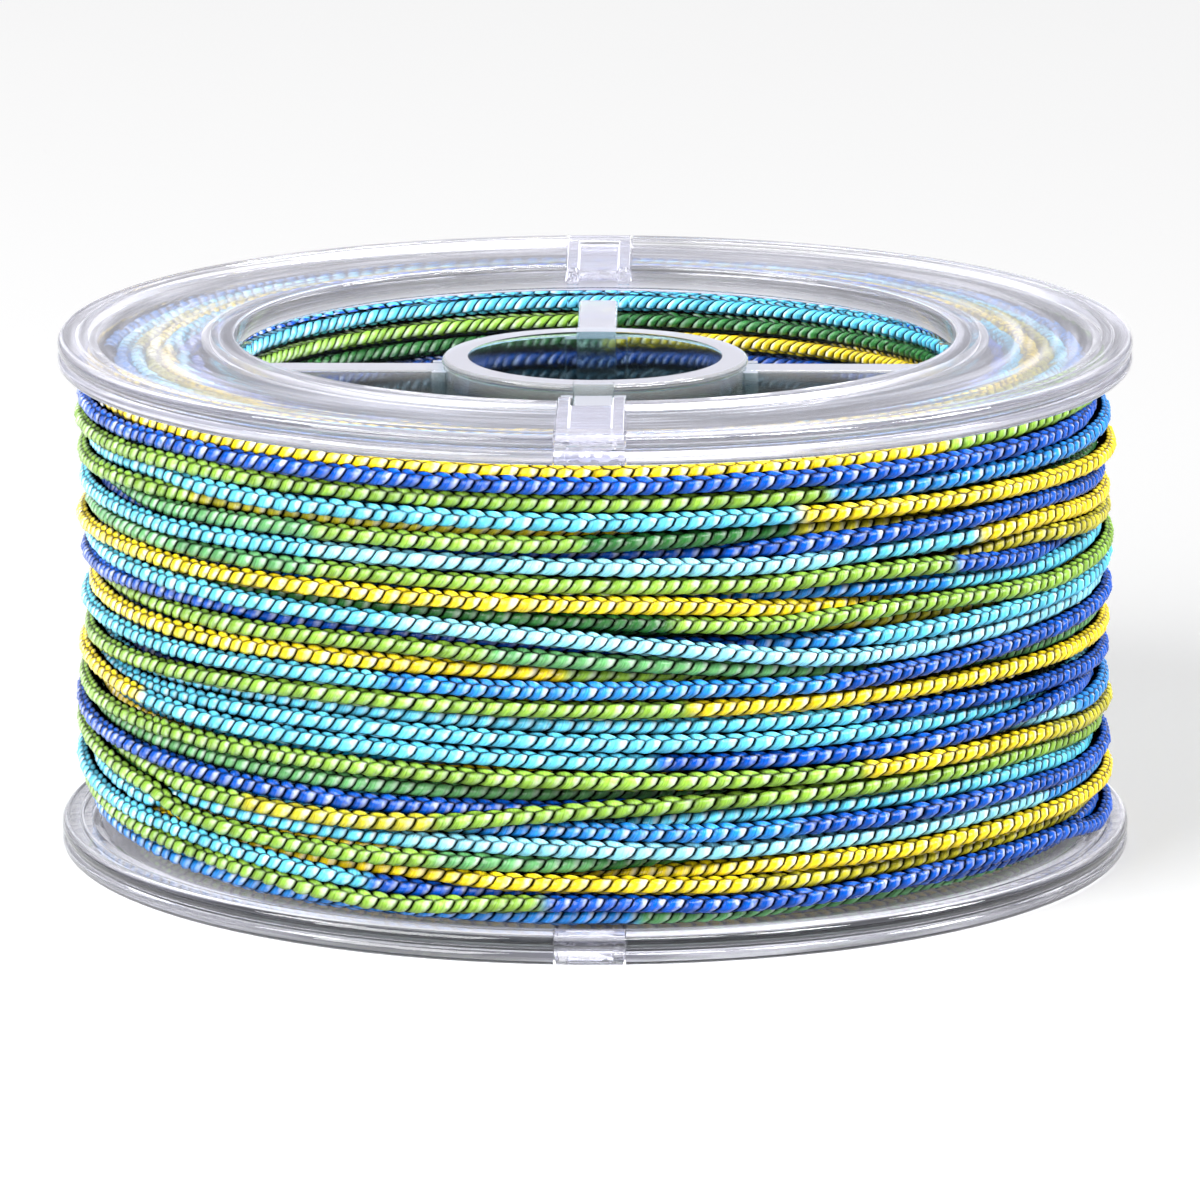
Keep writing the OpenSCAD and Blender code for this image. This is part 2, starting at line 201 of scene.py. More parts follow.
def linear(hex_colour):
    """Linear RGB of an sRGB colour written as six hex digits."""
    values = [int(hex_colour[i:i + 2], 16) / 255 for i in (0, 2, 4)]
    return [v / 12.92 if v <= 0.04045 else ((v + 0.055) / 1.055) ** 2.4 for v in values]


def soft_noise(rng, at, length):
    """Smooth noise of about -1 to 1 at the places given, with a wave of the length given."""
    knots = rng.uniform(-1, 1, int(at.max() / length) + 4)
    x = at / length
    k = np.floor(x).astype(int)
    f = x - k
    f = f * f * (3 - 2 * f)
    return knots[k] * (1 - f) + knots[k + 1] * f


def smoothed(values, steps):
    """Values along the line, averaged with a bell-shaped window that many steps wide."""
    window = np.hanning(2 * steps + 3)[1:-1]
    window /= window.sum()
    padded = np.pad(values, steps, mode="edge")
    return np.convolve(padded, window, mode="valid")


def new_object(name, mesh):
    obj = bpy.data.objects.new(name, mesh)
    bpy.context.scene.collection.objects.link(obj)
    return obj


def place(obj, material, body, slot, *replaced):
    """Gives a piece its material and its body, and hides the CAD nodes it stands for. slot is not used.
    """
    obj.data.materials.clear()
    obj.data.materials.append(material)
    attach(obj, body)
    if replaced:
        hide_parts(*replaced)
    return obj


# ---- node materials ----

def grey(v):
    return (v, v, v, 1.0)


class Shader:
    """The node tree of a new material or world, with short ways to add and join nodes."""

    def __init__(self, owner):
        owner.use_nodes = True
        self.owner = owner
        self.tree = owner.node_tree
        self.tree.nodes.clear()

    def node(self, kind, *sources, **settings):
        """A new node. Sources are joined to its first inputs, and settings are set or joined."""
        made = self.tree.nodes.new("ShaderNode" + kind)
        for key, value in settings.items():
            if hasattr(made, key):
                setattr(made, key, value)
            elif isinstance(value, bpy.types.NodeSocket):
                self.join(value, made.inputs[key.replace("_", " ")])
            else:
                made.inputs[key.replace("_", " ")].default_value = value
        for source, target in zip(sources, made.inputs):
            self.join(source, target)
        return made

    def join(self, source, target):
        self.tree.links.new(source, target)

    def maths(self, operation, *values):
        made = self.node("Math", operation=operation)
        for socket, value in zip(made.inputs, values):
            if isinstance(value, (int, float)):
                socket.default_value = value
            else:
                self.join(value, socket)
        return made.outputs[0]

    def ramp(self, factor, *stops):
        """A colour ramp through stops of (position, colour), where a number stands for a grey."""
        stops = [(at, value if isinstance(value, tuple) else grey(value)) for at, value in stops]
        made = self.node("ValToRGB", factor)
        made.color_ramp.elements[0].position, made.color_ramp.elements[0].color = stops[0]
        made.color_ramp.elements[1].position, made.color_ramp.elements[1].color = stops[-1]
        for position, colour in stops[1:-1]:
            made.color_ramp.elements.new(position).color = colour
        return made.outputs[0]

    def fade(self, length, start, end, before, after):
        """A ramp of greys from before to after, between two lengths in millimetres."""
        return self.ramp(length, (start * MM, before), (end * MM, after))

    def mix_colour(self, blend, factor, a, b):
        made = self.node("Mix", data_type="RGBA", blend_type=blend)
        for socket, value in ((made.inputs[0], factor), (made.inputs[6], a), (made.inputs[7], b)):
            if isinstance(value, (int, float, tuple)):
                socket.default_value = value
            else:
                self.join(value, socket)
        return made.outputs[2]

    def times(self, a, b):
        return self.mix_colour("MULTIPLY", 1.0, a, b)

    def noise(self, points, **settings):
        return self.node("TexNoise", points, **settings).outputs[0]


def line_material():
    """Dyed nylon braid. The mesh brings the dye, the shade and each point's place in its stitch."""
    s = Shader(bpy.data.materials.new("braided_line"))
    dye = s.node("Attribute", attribute_name="dye")
    weave = s.node("UVMap", uv_map="weave")
    axes = s.node("SeparateXYZ", weave.outputs[0])
    column = s.maths("FLOOR", axes.outputs["Y"])
    along = s.maths("MULTIPLY_ADD", s.maths("MODULO", column, 2.0), 0.5, axes.outputs["X"])
    in_stitch = s.maths("FRACT", along)
    in_column = s.maths("FRACT", axes.outputs["Y"])
    stitch = s.node("CombineXYZ", s.maths("FLOOR", along), column)
    chance = s.node("TexWhiteNoise", stitch.outputs[0], noise_dimensions="2D").outputs["Value"]

    stretched = s.node("Mapping", weave.outputs[0], vector_type="POINT", Scale=(11.0, 1.3, 1.0))
    fibres = s.noise(stretched.outputs[0], Scale=1.0, Detail=3.0, Roughness=0.6)
    strands = s.ramp(fibres, (0.32, 0.6), (0.5, 0.95), (0.7, 1.25))
    # rounding is painted shading: each stitch is darker at its trailing end and lighter towards its
    # leading end.
    rounding = s.ramp(in_stitch, (0.05, 0.5), (0.35, 0.95), (0.7, 1.15))
    uneven = s.ramp(chance, (0.0, 0.75), (1.0, 1.15))
    coloured = dye.outputs["Color"]
    for mask in (strands, rounding, uneven):
        coloured = s.times(coloured, mask)

    # Painted highlights: a pale tint of the dye on each stitch's leading and upper edges, in patches,
    # stands for light glinting off the fibres.
    hue, saturation, value = s.node("SeparateColor", dye.outputs["Color"], mode="HSV").outputs
    saturation = s.maths("MULTIPLY", saturation, 0.25)
    value = s.maths("POWER", value, 0.45)
    pale = s.node("CombineColor", hue, saturation, value, mode="HSV")
    leading = s.ramp(in_stitch, (0.5, 0), (0.8, 1), (0.92, 0.9), (0.96, 0))
    upper = s.ramp(in_column, (0.12, 0), (0.4, 0.7), (0.7, 1))
    points = s.node("TexCoord").outputs["Object"]
    spots = s.noise(points, Scale=1300.0, Detail=1.0)
    highlight_patches = s.maths("MULTIPLY", s.ramp(spots, (0.38, 0.3), (0.52, 1)),
                   s.ramp(chance, (0.1, 0.45), (0.8, 1)))
    painted_highlight = s.maths("MULTIPLY", s.maths("MULTIPLY", leading, upper), highlight_patches)
    coloured = s.mix_colour("MIX", painted_highlight, coloured, pale.outputs[0])

    # Painted shade: the dye's alpha darkens the crevices and the sides of the line that face into the
    # winding. Dark lines are painted between the stitches and between the columns, and they fade out in
    # places.
    shade = dye.outputs["Alpha"]
    crevice = s.ramp(shade, (0.1, 0.002), (0.35, 0.4), (0.6, 1.0))
    between_stitches = s.ramp(s.maths("PINGPONG", along, 0.5), (0.025, 0.01), (0.12, 1))
    between_columns = s.ramp(s.maths("PINGPONG", axes.outputs["Y"], 0.5), (0.015, 0.15), (0.08, 1))
    gaps = s.maths("MULTIPLY", between_stitches, between_columns)
    open_gap = s.ramp(s.noise(points, Scale=520.0, Detail=2.0), (0.36, 0.3), (0.56, 1))
    gaps = s.mix_colour("MIX", open_gap, grey(1.0), gaps)
    coloured = s.times(s.times(coloured, crevice), gaps)

    rough = s.ramp(shade, (0.1, 0.8), (0.4, 0.2))
    shine = s.maths("MULTIPLY", s.ramp(shade, (0.2, 0.0), (0.6, 0.3)), between_stitches)
    bump = s.node("Bump", Strength=0.6, Distance=0.00008, Height=fibres)
    skin = s.node("BsdfPrincipled", Base_Color=coloured, Roughness=rough, Specular_IOR_Level=shine,
                  Normal=bump.outputs[0])
    s.node("OutputMaterial", skin.outputs[0])
    return s.owner


def core_material():
    """The depths of the winding, seen only as the dark between turns. Its nearly black colour is painted
    shade.
    """
    s = Shader(bpy.data.materials.new("deep_line"))
    blotches = s.noise(s.node("TexCoord").outputs["Object"], Scale=160.0, Detail=3.0)
    colour = s.ramp(blotches, (0.35, (0.004, 0.012, 0.02, 1)), (0.6, (0.01, 0.03, 0.03, 1)))
    skin = s.node("BsdfPrincipled", Base_Color=colour, Roughness=0.8)
    s.node("OutputMaterial", skin.outputs[0])
    return s.owner


HUB_BORE = (12.5, 13.5)             # walls nearer the axis than this are clear of haze
OPENING_WALLS = (36.0, 38.0)        # upright faces nearer than this are the opening's walls
RIM_ROUNDS = (47.2, 47.4)           # rounded edges nearer than this are pale
HUB_LIP = (21.2, 21.3)              # the hub's pale ends start so far above and below its middle
FLANGE_LIP = (23.1, 23.4)           # and the opening's rounded lips here


def clear_material(name, tint, satin, milk=0.22, walls=0.0, ends=0.0, bore=0.0, ior=1.5, coat=0.0,
                   blur=0.0, smoke=0.0, rims=0.0, facets=0.0):
    """Polished clear polystyrene, with rounded edges painted pale as highlights and a satin look on its
    flat faces.

    satin, walls, ends, bore and rims are the shares of haze on flat faces, on outer walls, on
    the top and bottom ends of those, on the walls of the opening and on rounded edges. milk is
    how bright the haze of flat faces is, and blur how much what is seen through the piece is
    blurred. smoke is how much light a metre of the plastic takes, and facets how uneven upright
    faces are. A piece whose walls would trap light until they look black has a low ior, and a
    coat for the reflections that it then lacks.
    """
    s = Shader(bpy.data.materials.new(name))
    points = s.node("TexCoord").outputs["Object"]
    marks = s.noise(points, Scale=90.0, Detail=4.0, Roughness=0.7)
    rough = s.ramp(marks, (0.45, blur), (0.75, blur + 0.03))
    x, y, z = s.node("SeparateXYZ", points).outputs
    radius = s.maths("SQRT", s.maths("ADD", s.maths("POWER", x, 2.0), s.maths("POWER", y, 2.0)))
    level = s.maths("ABSOLUTE", s.maths("SUBTRACT", z, SPOOL_H / 2 * MM))
    turned = s.node("CombineXYZ", radius, x, y).outputs[0]
    spread = s.node("Mapping", turned, vector_type="POINT", Scale=(900.0, 40.0, 40.0))
    flow = s.noise(spread.outputs[0], Scale=1.0, Detail=2.0, Roughness=0.5)
    facing = s.node("NewGeometry").outputs
    flat = s.maths("ABSOLUTE", s.node("SeparateXYZ", facing["Normal"]).outputs["Z"])
    upright = s.ramp(flat, (0.1, 1), (0.3, 0))

    relief = flow
    if facets:
        cells = s.node("TexVoronoi", points, Scale=1100.0)
        uneven = s.maths("MULTIPLY", upright, cells.outputs["Distance"])
        relief = s.maths("MULTIPLY_ADD", uneven, facets, relief)
    ripple = s.node("Bump", Strength=0.12, Distance=0.0002, Height=relief)
    glass = s.node("BsdfPrincipled", Base_Color=(*tint, 1), Transmission_Weight=1.0, IOR=ior,
                   Coat_Weight=coat, Coat_IOR=1.5, Coat_Roughness=0.02, Roughness=rough,
                   Normal=ripple.outputs[0])

    # Painted highlights: rounded edges get a near white haze, and rims adds more of it.
    haze = s.ramp(flat, (0.7, 0), (0.8, 0.12), (0.9, 0.12), (0.97, satin))
    if rims:
        rounds = s.ramp(flat, (0.25, 0), (0.45, rims), (0.9, rims), (0.96, 0))
        rounds = s.maths("MULTIPLY", rounds, s.fade(radius, *RIM_ROUNDS, 1, 0))
        haze = s.maths("MAXIMUM", haze, rounds)
    outside = s.maths("MULTIPLY", upright, s.maths("SUBTRACT", 1.0, facing["Backfacing"]))
    outside = s.maths("MULTIPLY", outside, s.fade(radius, *HUB_BORE, 0, 1))
    outside = s.maths("MULTIPLY", outside, s.fade(level, *HUB_LIP, walls, ends))
    inside = s.maths("MULTIPLY", upright, s.fade(radius, *OPENING_WALLS, 1, 0))
    inside = s.maths("MULTIPLY", inside, s.fade(level, *FLANGE_LIP, bore, bore / 3))
    haze = s.maths("MAXIMUM", s.maths("MAXIMUM", haze, outside), inside)
    # Painted highlights: rounded edges and the upright ends near the hub's lips are near white. Flat
    # faces and other walls get milk.
    colour = s.ramp(flat, (0.9, (0.9, 0.9, 0.95, 1)), (0.97, (milk, milk, milk * 1.12, 1)))
    colour = s.mix_colour("MIX", upright, colour, s.fade(level, *HUB_LIP, milk, 0.95))
    # Painted light and reflections: the opening's wall is hazed white with bright and dark streaks, and
    # its lip is dark.
    if bore:
        streaks = s.ramp(flow, (0.36, 0.65), (0.5, 0.9), (0.62, 1.8))
        colour = s.times(colour, streaks)
        lip = s.fade(level, *FLANGE_LIP, (0.95, 0.95, 1.0, 1), 0.12)
        colour = s.mix_colour("MIX", upright, colour, lip)
    cloud = s.node("BsdfDiffuse", colour)
    cloudy = s.node("MixShader", haze, glass.outputs[0], cloud.outputs[0])
    through = s.node("BsdfTransparent", Color=(*tint, 1))
    in_shadow = s.node("LightPath").outputs["Is Shadow Ray"]
    both = s.node("MixShader", in_shadow, cloudy.outputs[0], through.outputs[0])
    out = s.node("OutputMaterial", both.outputs[0])
    if smoke:
        depth = s.node("VolumeAbsorption", Color=(0.0, 0.0, 0.06, 1), Density=smoke)
        s.join(depth.outputs[0], out.inputs["Volume"])
    return s.owner


# ---- the braid ----

FINE_RINGS = np.array((0.0, 0.09, 0.25, 0.41, 0.5, 0.59, 0.75, 0.91))  # places along a stitch
RINGS = np.array((0.0, 0.13, 0.32, 0.5, 0.68, 0.87))
FEW_RINGS = np.array((0.0, 0.25, 0.5, 0.75))
COLUMN_EDGES = (-76, 54, 132, 210)  # where each column of stitches starts round the line
COLUMNS = len(COLUMN_EDGES)
ACROSS = np.array((0.0, 0.2, 0.5, 0.8))         # places across a column
ACROSS_HEIGHT = np.array((0.4, 0.9, 1.0, 0.9))  # and how high a stitch stands there
SLANT = 1.15                        # how far a stitch leans along the line, in millimetres
BULGE = 0.3                         # how far its middle lies ahead of its ends
CREVICE = 0.42                      # depth of the crevices, as a share of the radius
STITCH_LENGTHS = (0.8, 1.2)         # shares of the mean that the stitches' lengths lie between
STITCH_HEIGHTS = (0.66, 1.0)        # and how high they stand
INTERLOCK = math.radians(14)        # how far stitches reach into the next column
TWIST = math.radians(14)            # how far the line rolls to and fro along its length
BAKE_STRIPS = 32                    # the map for baking has the tube in this many strips
BAKE_GAP = 0.06                     # the gap at a strip's sides, as a share of its width
BAKE_INSET = 0.002                  # and at its ends, as a share of its length


def braid_rings(points, radius, dyes, rng, rings=RINGS, stitch=STITCH, facing=0.0, oval=0.0):
    """Rings of corners of a braided line along points, with each corner's dye and painted shade.

    points and dyes have one row per point. Each ring follows the stitches, so that its corners
    lie along the crevices and not square to the line. The side that shows is at the angle
    facing: 0 for outwards from the spool's axis, 90 for upwards, 180 for inwards.
    """
    steps = np.linalg.norm(np.diff(points, axis=0), axis=1)
    along = np.concatenate(([0.0], np.cumsum(steps)))
    tangent = np.gradient(points, axis=0)
    tangent /= np.linalg.norm(tangent, axis=1)[:, None]
    outward = points * (1, 1, 0)
    outward -= tangent * np.sum(outward * tangent, axis=1)[:, None]
    outward /= np.linalg.norm(outward, axis=1)[:, None]
    upward = np.cross(outward, tangent)

    count = max(2, round(along[-1] / stitch))
    lengths = rng.uniform(*STITCH_LENGTHS, count)
    lengths *= 1 + 0.12 * soft_noise(rng, np.arange(count, dtype=float), 14.0)
    ends = np.concatenate(([0.0], np.cumsum(lengths)))
    ends *= along[-1] / ends[-1]
    phase = np.append((np.arange(count)[:, None] + rings).ravel(), count)
    ring_at = np.interp(phase, np.arange(count + 1), ends)

    edges = np.array(COLUMN_EDGES + (COLUMN_EDGES[0] + 360,))
    column = np.repeat(np.arange(COLUMNS), len(ACROSS))
    across = np.tile(ACROSS, COLUMNS)
    lean = np.where(column % 2 == 0, 1, -1)
    size = rng.uniform(*STITCH_HEIGHTS, (count + 2, COLUMNS))

    def stitch_height(columns):
        """How high the stitches of those columns stand at each ring, 0 in a crevice to 1."""
        shifted = phase[:, None] + 0.5 * (columns % 2)
        k = np.floor(shifted + 1e-6).astype(int)
        f = np.clip(shifted - k, 0, 1)
        return np.sqrt(np.clip(1 - (2 * f - 1) ** 2, 0, 1)) * size[k, columns]

    height = stitch_height(column)
    before = stitch_height((column - 1) % COLUMNS)
    edge = across == 0
    shape = height * np.tile(ACROSS_HEIGHT, COLUMNS)
    shape[:, edge] = np.maximum(height, before)[:, edge] * ACROSS_HEIGHT[0]
    curve = SLANT * (across - 0.5) * lean + BULGE * (1 - 4 * (across - 0.5) ** 2)
    corner_at = np.clip(ring_at[:, None] + curve, 0, along[-1])
    roll = TWIST * (soft_noise(rng, along, 24.0) + 0.6 * soft_noise(rng, along, 5.0))
    angle = np.radians(edges[column] + across * (edges[column + 1] - edges[column]))
    angle = angle + np.interp(corner_at, along, roll)
    angle[:, edge] += INTERLOCK * (before - height)[:, edge]
    # open_side is painted shade: it darkens the sides of the line that face away from the outside.
    # Multiplied by the stitches' height, it gives the shade that goes into the dye's alpha.
    open_side = np.clip((np.cos(angle) + 0.12) / 0.5, 0, 1)
    angle = angle + math.radians(facing)
    reach = radius * (1 - CREVICE * (1 - shape))

    def at_corners(table):
        return np.stack([np.interp(corner_at, along, table[:, i]) for i in range(table.shape[1])], -1)

    corners = at_corners(points)
    corners += (reach * (1 - oval) * np.cos(angle))[..., None] * at_corners(outward)
    corners += (reach * (1 + oval) * np.sin(angle))[..., None] * at_corners(upward)
    shade = shape * open_side
    return corners, at_corners(dyes), shade, phase


def braid_mesh(name, corners, dyes, shade, phase):
    """A closed tube through the rings, with the maps that its material reads."""
    rings, sides = shade.shape
    vertices = np.concatenate((corners.reshape(-1, 3), corners[[0, -1]].mean(axis=1))) * MM
    j, m = np.meshgrid(np.arange(rings - 1), np.arange(sides), indexing="ij")
    at_ring = np.stack((j, j, j + 1, j + 1), -1)
    at_side = np.stack((m, m + 1, m + 1, m), -1)
    quads = (at_ring * sides + at_side % sides).reshape(-1, 4)
    side = np.arange(sides)
    last = (rings - 1) * sides
    start = rings * sides
    end = start + 1
    caps = np.concatenate((
        np.stack((np.full(sides, start), (side + 1) % sides, side), -1),
        np.stack((np.full(sides, end), last + side, last + (side + 1) % sides), -1),
    ))
    mesh = bpy.data.meshes.new(name)
    mesh.vertices.add(len(vertices))
    mesh.vertices.foreach_set("co", vertices.ravel().astype(np.float32))
    loops = np.concatenate((quads.ravel(), caps.ravel()))
    mesh.loops.add(len(loops))
    mesh.loops.foreach_set("vertex_index", loops.astype(np.int32))
    starts = np.concatenate((np.arange(len(quads)) * 4, len(quads) * 4 + np.arange(len(caps)) * 3))
    mesh.polygons.add(len(starts))
    mesh.polygons.foreach_set("loop_start", starts.astype(np.int32))
    mesh.polygons.foreach_set("use_smooth", np.ones(len(starts), bool))

    colour = np.ones((len(vertices), 4), np.float32)
    colour[:-2, :3] = dyes.reshape(-1, 3)
    # The dye's alpha carries the painted shade of the crevices and the line's hidden sides.
    colour[:-2, 3] = shade.ravel()
    layer = mesh.color_attributes.new("dye", "FLOAT_COLOR", "POINT")
    layer.data.foreach_set("color", colour.ravel())

    column_share = np.tile(ACROSS, COLUMNS) + np.repeat(np.arange(COLUMNS), len(ACROSS))
    column_share = np.append(column_share, COLUMNS)
    weave = np.stack((phase[at_ring], column_share[at_side]), -1).reshape(-1, 2)
    per_strip = math.ceil((rings - 1) / BAKE_STRIPS)
    strip = (j // per_strip)[..., None]
    u = (at_ring - strip * per_strip) / per_strip
    v = (strip + BAKE_GAP + (1 - 2 * BAKE_GAP) * at_side / sides) / BAKE_STRIPS
    bake = np.stack((BAKE_INSET + (1 - 2 * BAKE_INSET) * u, v), -1).reshape(-1, 2)
    at_caps = np.zeros((caps.size, 2))
    for layer_name, values in (("OFBake", bake), ("weave", weave)):
        layer = mesh.uv_layers.new(name=layer_name)
        layer.uv.foreach_set("vector", np.concatenate((values, at_caps)).ravel().astype(np.float32))
    mesh.update(calc_edges=True)
    mesh.validate()
    return mesh


def braid_pieces(name, points, dyes, rng, pieces, material, slot, radius=LINE_D / 2, **options):
    """Braided line along points, cut into that many pieces of equal length. All ride the drum."""
    maps = braid_rings(points, radius, dyes, rng, **options)
    cuts = np.linspace(0, len(maps[0]) - 1, pieces + 1).round().astype(int)
    made = []
    for i, (a, b) in enumerate(zip(cuts[:-1], cuts[1:])):
        part = slice(a, b + 1)
        full_name = name if pieces == 1 else f"{name}_{i + 1:02d}"
        mesh = braid_mesh(full_name, *(values[part] for values in maps))
        made.append(place(new_object(full_name, mesh), material, "drum", slot))
    return made


# ---- the route of the line ----

STEPS = 180                         # places round one turn where the route is worked out


def dye_track(rows, rng=None):
    """The dye at each place along turns whose rows are lists of (dye, angle where it starts).

    With rng, the change from one row's dye to the next one's is shifted by up to 70 degrees.
    """
    track = np.zeros((len(rows) * STEPS, 3))
    for k, row in enumerate(rows):
        for dye, start in row:
            shift = rng.uniform(-70, 70) if rng and k and start == -180 else 0.0
            begin = round((k + (start + shift + 180) / 360) * STEPS)
            track[begin:] = linear(DYES[dye])
    return track


def read_dyes(text):
    """Turns "green, blue 27" into ((green, -180), (blue, 27))."""
    found = []
    for item in text.split(", "):
        name, _, angle = item.partition(" ")
        found.append((name, float(angle) if angle else -180.0))
    return found


def settle(radius, height, goal_r, goal_z, gap, rounds):
    """Moves turns that lie closer than gap apart, until they rest beside and on each other.

    Each round pushes them apart, and pulls each one a little towards its goal.
    """
    turns = len(radius) // STEPS
    most = 0.3                      # the longest push, in millimetres
    share = 0.6                     # and how much of it a round takes
    innermost = BACKING_R + 0.9 * LINE_D / 2
    for i in range(rounds):
        r = radius.reshape(turns, STEPS)
        z = height.reshape(turns, STEPS)
        dr = r[:, None] - r[None]
        dz = z[:, None] - z[None]
        apart = np.sqrt(dr * dr + dz * dz) + 1e-6
        push = np.clip(gap - apart, 0, None) / apart * 0.5
        push[np.arange(turns), np.arange(turns)] = 0
        radius = radius + np.clip((push * dr).sum(axis=1), -most, most).ravel() * share
        height = height + np.clip((push * dz).sum(axis=1), -most, most).ravel() * share
        pull = 0.06 * (1 - i / rounds) + 0.01
        radius += pull * (goal_r - radius)
        height += pull * (goal_z - height)
        radius = np.clip(smoothed(radius, 1), innermost, FRONT_R + 0.5)
        height = np.clip(smoothed(height, 1), LOW_TURN, TOP_TURN)
    return radius, height


def along_turns(values):
    """A smooth track through the values that each turn has at PLACES, round the back as well."""
    places = np.array(PLACES) + 180.0
    at = np.concatenate([places + 360 * k for k in range(len(values))])
    track = np.interp(np.arange(len(values) * STEPS) * 360 / STEPS, at, np.concatenate(values))
    return smoothed(track, 6)


def outer_route(rng):
    """The two outer layers as one line: radius, height and dye at each place along it."""
    goal_z = along_turns([row[0] for row in TURNS])
    goal_r = FRONT_R - along_turns([[TUCKED[int(d)] for d in row[1]] for row in TURNS])
    at = np.arange(len(goal_z), dtype=float)
    goal_z = goal_z + 0.12 * soft_noise(rng, at, STEPS / 9)
    goal_r = goal_r + 0.1 * soft_noise(rng, at, STEPS / 7)
    rounds = 160
    radius, height = settle(goal_r, goal_z, goal_r, goal_z, PACKING, rounds)
    return radius, height, dye_track([read_dyes(row[2]) for row in TURNS], rng)


def round_points(radius, height, start_angle=-270.0):
    """Points of a line that winds round the spool, one per step, from an angle round +Z."""
    angle = np.radians(start_angle + np.arange(len(radius)) * 360 / STEPS)
    return np.stack((radius * np.cos(angle), radius * np.sin(angle), height), -1)


def build_outer_layers(material):
    """The two outer layers, in pieces that are small enough to export whole."""
    rng = np.random.default_rng(SEED)
    radius, height, dyes = outer_route(rng)
    points = round_points(radius, height)
    return braid_pieces("outer_line", points, dyes, rng, 13, material, "line_outer",
                        rings=FINE_RINGS)


def build_drum_side_layer(material):
    """The layer next to the drum, which shows through its clear wall."""
    rng = np.random.default_rng(SEED + 1)
    turn = np.arange(-STEPS // 2, DRUM_SIDE_TURNS * STEPS) / STEPS
    at = (turn + 0.5) * STEPS
    height = TOP_TURN - (TOP_TURN - LOW_TURN) * np.clip(turn, 0, None) / turn[-1]
    height = np.clip(height + 0.08 * soft_noise(rng, at, STEPS / 6), LOW_TURN, TOP_TURN)
    radius = DRUM_SIDE_R + 0.06 * (1 + soft_noise(rng, at, STEPS / 8))
    dyes = np.zeros((len(turn), 3))
    for dye, start in DRUM_SIDE_DYES:
        dyes[turn >= start] = linear(DYES[dye])
    dark_below = TOP_TURN - 7.0     # little light reaches the turns that lie deeper
    lit = np.clip((height - dark_below) / 4.8, 0, 1)
    # Painted shade: the dyes are darkened, most on the deepest turns.
    dyes *= (0.05 + 0.75 * lit)[:, None]
    points = round_points(radius, height, start_angle=-90.0)
    return braid_pieces("drum_side_line", points, dyes, rng, 6, material, "line_inner",
                        stitch=DRUM_SIDE_STITCH, facing=180.0, oval=-0.06)


def build_backing_layer(material):
    """The layer behind the two outer ones, seen only in the gaps between their turns."""
    rng = np.random.default_rng(SEED + 2)
    at = np.arange(BACKING_TURNS * STEPS, dtype=float)
    top = TOP_TURN - LINE_D
    low = LOW_TURN + LINE_D
    height = top - (top - low) * at / at[-1]
    radius = BACKING_R + 0.1 * soft_noise(rng, at, STEPS / 8)
    names = BACKING_DYES * (BACKING_TURNS // len(BACKING_DYES) + 1)
    rows = [((names[k], -180.0), (names[k + 1], rng.uniform(-180, 20))) for k in range(BACKING_TURNS)]
    # Painted shade: the backing's dyes are darkened to about a third, as it lies in shade behind the
    # outer turns.
    dyes = dye_track(rows) * 0.35
    points = round_points(radius, height)
    return braid_pieces("backing_line", points, dyes, rng, 4, material, "line_inner",
                        rings=FEW_RINGS)


def build_spiral(name, side, names, material):
    """The turns that show through a flange, side by side from the drum to the outer layers."""
    rng = np.random.default_rng(SEED + 10 + side)
    turns = len(names)
    at = np.arange(turns * STEPS, dtype=float) / STEPS
    radius = DRUM_SIDE_R + 1.1 + SPIRAL_PITCH * at + 0.1 * soft_noise(rng, at, 0.2)
    edge = TOP_TURN if side > 0 else LOW_TURN
    height = edge - side * (0.06 * (1 + soft_noise(rng, at, 0.12)) + 0.6 * np.clip(1.9 - at, 0, 1))
    points = round_points(radius, height, start_angle=180.0)
    rows = [((dye, -180.0),) for dye in names]
    return braid_pieces(name, points, dye_track(rows), rng, 1, material, "line_inner",
                        facing=90.0 * side)


def build_start_knot(material):
    """The line's start: through the hole in the drum, and a tight knot that holds it inside."""
    rng = np.random.default_rng(SEED + 5)
    turn = math.radians(KNOT_ANGLE)
    out = np.array((math.cos(turn), math.sin(turn), 0.0))
    side = np.array((-math.sin(turn), math.cos(turn), 0.0))
    up = np.array((0.0, 0.0, 1.0))
    middle = out * KNOT_R + up * KNOT_Z
    dye = np.array([linear(DYES["cyan"])])
    stem = middle + np.linspace(DRUM_SIDE_R - KNOT_R, 0.9, 24)[:, None] * out
    made = braid_pieces("start_stem", stem, np.repeat(dye, len(stem), 0), rng, 1, material,
                        "line_outer")
    t = np.linspace(0, 2 * math.pi * 0.96, 90)[:, None]
    loops = (np.sin(t) + 2 * np.sin(2 * t)) * side + (np.cos(t) - 2 * np.cos(2 * t)) * up
    knot = middle + KNOT_SCALE * (loops + 1.6 * np.sin(3 * t) * out)
    made += braid_pieces("start_knot", knot, np.repeat(dye, len(knot), 0), rng, 1, material,
                         "line_outer", radius=KNOT_LINE_R)
    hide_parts("line_start_knot")
    return made


